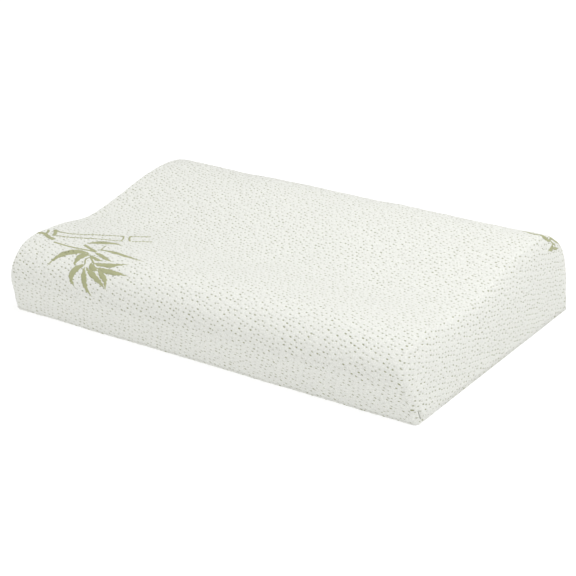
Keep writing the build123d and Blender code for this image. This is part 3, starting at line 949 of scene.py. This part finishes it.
def zip_tape(name, sgn, node):
    """A woven tape with a corded edge beside its coil."""
    u = np.linspace(-224, 224, 180)
    v = np.array([0.62, 0.9, 1.4, 2.2, 3.6, 3.9, 5.0, 7.0, 9.0, 11.0, 12.6, 13.5, 13.95]) * sgn
    U, V = np.meshgrid(u, v, indexing="ij")
    wob = 0.05 * np.sin(U / 17.0 + sgn) + 0.04 * np.sin(U / 6.1 + 2 * sgn) * np.clip((np.abs(V) - 3) / 10, 0, 1)
    rib = 0.10 * np.exp(-((np.abs(V) - 4.3) / 0.4) ** 2)
    top, bot = -2.08 + wob * 0.5 + rib, -2.56 + wob * 0.5
    edge = np.zeros_like(U)
    edge[:, 0] = edge[:, -1] = 0.12
    pt, pb = at_zip(U, V, top - edge), at_zip(U, V, bot + edge)
    m, k = U.shape
    verts = np.concatenate([pt.reshape(-1, 3), pb.reshape(-1, 3)])
    f = [tuple(q) for q in grid_faces(m, k)] + [tuple(q) for q in grid_faces(m, k, base=m * k, flip=True)]
    loop = [(0, j) for j in range(k)] + [(i, k - 1) for i in range(1, m)] + [(m - 1, j) for j in range(k - 2, -1, -1)] + [(i, 0) for i in range(m - 2, 0, -1)]
    ids = [i * k + j for i, j in loop]
    for q in range(len(ids)):
        a, b = ids[q], ids[(q + 1) % len(ids)]
        f.append((b, a, a + m * k, b + m * k))
    flat = np.concatenate([np.stack([U, V], -1).reshape(-1, 2)] * 2) * MM
    uv = np.concatenate([flat[list(g)] for g in f])
    o = outward(new_mesh(name, verts, f, uv))
    return piece(o, M_TAPE, replaces=(node,))


def zip_coil(name, sgn, node):
    """One coil: a nylon wire wound round and flattened on its tape side."""
    turns, seg, ring, wire = 312, 12, 6, 0.34
    n = turns * seg
    t = np.arange(n + 1) / seg
    u = -203.9 + t * (407.8 / turns)
    ang = 2 * np.pi * t
    v = sgn * (1.95 + 0.98 * np.cos(ang))
    w = -0.85 + 0.76 * np.sin(ang) * np.where(np.sin(ang) < 0, 0.96, 1.0)
    c = at_zip(u, v, w)
    tan = np.gradient(c, axis=0)
    tan /= np.linalg.norm(tan, axis=1)[:, None]
    e1 = np.cross(tan, ZU)
    e1 /= np.linalg.norm(e1, axis=1)[:, None]
    e2 = np.cross(tan, e1)
    q = 2 * np.pi * np.arange(ring) / ring
    verts = (c[:, None, :] + wire * (np.cos(q)[None, :, None] * e1[:, None, :] + np.sin(q)[None, :, None] * e2[:, None, :])).reshape(-1, 3)
    i, j = np.meshgrid(np.arange(n), np.arange(ring), indexing="ij")
    j2 = (j + 1) % ring
    f = np.stack([i * ring + j, i * ring + j2, (i + 1) * ring + j2, (i + 1) * ring + j], -1).reshape(-1, 4).tolist()
    f.append(list(range(ring))[::-1])
    f.append([n * ring + k for k in range(ring)])
    o = outward(new_mesh(name, verts, f))
    return piece(o, M_COIL, replaces=(node,))


def zip_stitches(name, sgn, node):
    v = sgn * (ZIP_GAP / 2 + 2.3)
    starts, ends = [], []
    for u in np.arange(-210.0, 208.0, 3.1):
        s = ZIP_S - v
        p, _ = skin(np.array([s, s]), a_of(np.array([-u, -(u + 2.2)])), 0.10)
        starts.append(p[0])
        ends.append(p[1])
    o = capsules(name, starts, ends, 0.25, normals=[ZW] * len(starts))
    return piece(o, M_THREAD, replaces=(node,))


def bartacks():
    """Close zigzag stitching over each end of the zip's window."""
    starts, ends = [], []
    for sgn in (1, -1):
        u0 = sgn * (ZIP_OPEN / 2 + 1.3)
        for k, v in enumerate(np.linspace(-6.3, 6.3, 26)):
            lean = 0.22 if k % 2 else -0.22
            a = at_zip(u0 - 0.85, v - lean, 0.46)
            b = at_zip(u0 + 0.85, v + lean, 0.46)
            starts.append(a)
            ends.append(b)
    o = capsules("zip_end_bartacks", starts, ends, 0.24, normals=[ZW] * len(starts))
    return piece(o, M_THREAD, replaces=("zip_bartacks",))


def care_label():
    """A folded satin ribbon, blank, sewn in under the back wall."""
    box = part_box("care_label")
    x0, x1 = box[0][0] / MM, box[1][0] / MM
    y0, y1 = box[0][1] / MM - 1.2, box[1][1] / MM
    path = []
    for t in np.linspace(0, 1, 12):
        path.append((y0 + (y1 - 0.45 - y0) * t, 0.34 + 0.05 * math.sin(t * 3)))
    for t in np.linspace(-math.pi / 2, math.pi / 2, 9)[1:-1]:
        path.append((y1 - 0.45 + 0.36 * math.cos(t), 0.70 + 0.36 * math.sin(t)))
    for t in np.linspace(1, 0, 12):
        path.append((y0 + (y1 - 0.45 - y0) * t, 1.06 + 0.10 * math.sin(t * 3.1)))
    path = np.array(path)
    x = np.linspace(x0, x1, 15)
    d = np.r_[0, np.cumsum(np.linalg.norm(np.diff(path, axis=0), axis=1))]
    X, K = np.meshgrid(x, np.arange(len(path)), indexing="ij")
    verts = np.stack([X, path[K.astype(int), 0], path[K.astype(int), 1]], -1).reshape(-1, 3)
    faces = grid_faces(len(x), len(path))
    flat = np.stack([X.ravel(), d[K.astype(int)].ravel()], -1) * MM
    uv = flat[faces].reshape(-1, 2)
    o = new_mesh("care_label_ribbon", verts, faces, uv)
    sol = o.modifiers.new("ribbon", "SOLIDIFY")
    sol.thickness, sol.offset = 0.00024, 0.0
    return piece(o, M_SATIN, replaces=("care_label",))


# -------------------------------------------------- liner and core, inside
def closed_form(name, d, z0, step=7.0):
    s = np.linspace(0, S_ALL, int(S_ALL / step) + 1)
    a = np.r_[np.linspace(-1, 1, int(2 * A_HALF / step) + 1), 1 + np.linspace(0, 1, 15)[1:]]
    a = np.r_[-(1 + np.linspace(1, 0, 15)[:-1]), a]
    sg, ag = np.meshgrid(s, a, indexing="ij")
    p = form(sg, ag, d, BACK_EASE)
    p[..., 2] = np.maximum(p[..., 2], z0)
    ns, na = sg.shape
    faces = [tuple(q) for q in grid_faces(ns, na)]
    f, b = p[0], p[-1]
    t = np.linspace(0, 1, 24)
    base = f[:, None, :] * (1 - t[None, :, None]) + b[:, None, :] * t[None, :, None]
    base[..., 2] = z0
    faces += [tuple(q) for q in grid_faces(na, len(t), base=ns * na)]
    verts = np.concatenate([p.reshape(-1, 3), base.reshape(-1, 3)])
    o = new_mesh(name, verts, faces, box_uv(verts, faces))
    return weld(o, 0.00004)


def liner_and_core():
    liner = closed_form("liner_bag", 2.15, 2.1)
    sol = liner.modifiers.new("cloth_thickness", "SOLIDIFY")
    sol.thickness, sol.offset = 0.0005, -1.0
    piece(liner, M_LINER, replaces=("liner_top", "liner_base"))
    core = closed_form("foam_block", 3.3, 3.3)
    piece(core, M_FOAM, replaces=("foam_core",))
    # the liner's seam: a run of stitches round its foot
    pts = []
    for ang in np.linspace(0, 2 * np.pi, 900, endpoint=False):
        cx, cy = math.cos(ang), math.sin(ang)
        r = (abs(cx / 247.6) ** 26 + abs(cy / 159.6) ** 26) ** (-1 / 26)
        pts.append((cx * r, cy * r - 0.2, 3.9))
    pts = np.array(pts + pts[:1])
    d = np.r_[0, np.cumsum(np.linalg.norm(np.diff(pts, axis=0), axis=1))]
    starts = [[np.interp(q, d, pts[:, j]) for j in range(3)] for q in np.arange(0, d[-1] - 4, 5.0)]
    ends = [[np.interp(q + 3.2, d, pts[:, j]) for j in range(3)] for q in np.arange(0, d[-1] - 4, 5.0)]
    o = capsules("liner_foot_stitches", starts, ends, 0.24, rings=1)
    piece(o, M_THREAD, replaces=("liner_seam_thread",))


# --------------------------------------------------------------------- build
cover = cover_skin()
base_panel()
sprig("sprig_front", LEAVES, LINES + JOINTS, OUTLINES)
sprig("sprig_back_corner", CORNER_LEAVES, CORNER_LINES, unrolled=True)
foot_stitches()
dart_stitches()
zip_tape("zip_tape_top_edge", 1, "zip_tape_upper")
zip_tape("zip_tape_low_edge", -1, "zip_tape_lower")
zip_coil("zip_coil_top", 1, "zip_coil_upper")
zip_coil("zip_coil_low", -1, "zip_coil_lower")
zip_stitches("zip_topstitch_upper", 1, "zip_stitching_upper")
zip_stitches("zip_topstitch_lower", -1, "zip_stitching_lower")
bartacks()
care_label()
liner_and_core()

# Metal parts keep their CAD shape, with their sharp edges broken.
for node in ("zip_slider", "zip_pull", "zip_top_stops", "zip_bottom_stop"):
    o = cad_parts[node]
    for k in range(len(o.material_slots)):
        o.material_slots[k].material = M_ENAMEL
    bev = o.modifiers.new("soft_edges", "BEVEL")
    bev.width, bev.segments, bev.limit_method, bev.angle_limit = 0.00016, 2, "ANGLE", math.radians(35)

# ------------------------------------------------------------- floor and light
bpy.ops.mesh.primitive_plane_add(size=40.0, location=(0, 0, -0.0002))
floor = bpy.context.object
floor.name = "floor"
fm = Nodes("floor_paper")
fm.finish(fm.mix(fm.noise(fm.coords(), 3.0, 2.0), (0.34, 0.34, 0.34), (0.36, 0.36, 0.36)), 0.9, spec=0.0)
reach = fm.add("VectorMath", operation="LENGTH")
fm.link(fm.coords(), reach.inputs[0])
glow = fm.add("MapRange", interpolation_type="SMOOTHSTEP")
for k, v in enumerate((0.30, 0.95, 0.74, 0.86)):
    glow.inputs[k + 1].default_value = v
fm.link(reach.outputs["Value"], glow.inputs[0])
fm.b.inputs["Emission Color"].default_value = (1, 1, 1, 1)
fm.link(glow.outputs[0], fm.b.inputs["Emission Strength"])
floor.data.materials.append(fm.m)

world = bpy.data.worlds.new("studio")
bpy.context.scene.world = world
world.use_nodes = True
world.node_tree.nodes["Background"].inputs[0].default_value = (1, 1, 1, 1)
world.node_tree.nodes["Background"].inputs[1].default_value = 0.53


def area(name, loc, target, size, power, colour=(1, 1, 1)):
    d = bpy.data.lights.new(name, "AREA")
    d.shape, d.size, d.energy, d.color = "DISK", size, power, colour
    o = bpy.data.objects.new(name, d)
    bpy.context.scene.collection.objects.link(o)
    o.location = loc
    o.rotation_euler = (Vector(target) - Vector(loc)).to_track_quat("-Z", "Y").to_euler()
    return o


area("key_softbox", (0.35, -0.05, 1.6), (0, 0, 0.05), 1.4, 7.2)
area("key_back", (0.55, 0.30, 1.5), (0, 0, 0.05), 1.4, 10.0)
area("side_fill", (1.6, -0.5, 0.7), (0, 0, 0.05), 1.0, 3.5)
area("front_fill", (0.5, -1.7, 0.8), (0, 0, 0.05), 1.0, 0.9)
area("front_left_fill", (-0.9, -1.3, 0.9), (0, 0, 0.05), 1.0, 4.6)

# ------------------------------------------------------------------- camera
AZ, EL, ROLL = math.radians(34.694), math.radians(22.70), math.radians(0.716)
DIST = 1.62255
back = Vector((math.sin(AZ) * math.cos(EL), -math.cos(AZ) * math.cos(EL), math.sin(EL)))
right = Vector((math.cos(AZ), math.sin(AZ), 0))
up = back.cross(right)
aim = Vector((0, 0, 0.040)) + right * -0.00063 + up * -0.01506
eye = aim + back * DIST
rx = right * math.cos(ROLL) - up * math.sin(ROLL)
ry = right * math.sin(ROLL) + up * math.cos(ROLL)
cam_data = bpy.data.cameras.new("camera")
cam = bpy.data.objects.new("camera", cam_data)
bpy.context.scene.collection.objects.link(cam)
cam.matrix_world = Matrix(((rx.x, ry.x, back.x, eye.x), (rx.y, ry.y, back.y, eye.y), (rx.z, ry.z, back.z, eye.z), (0, 0, 0, 1)))
cam_data.sensor_fit, cam_data.sensor_width, cam_data.lens = "HORIZONTAL", 36.0, 95.313
cam_data.clip_start, cam_data.clip_end = 0.05, 30.0
bpy.context.scene.camera = cam
bpy.context.scene.view_settings.view_transform = "Standard"
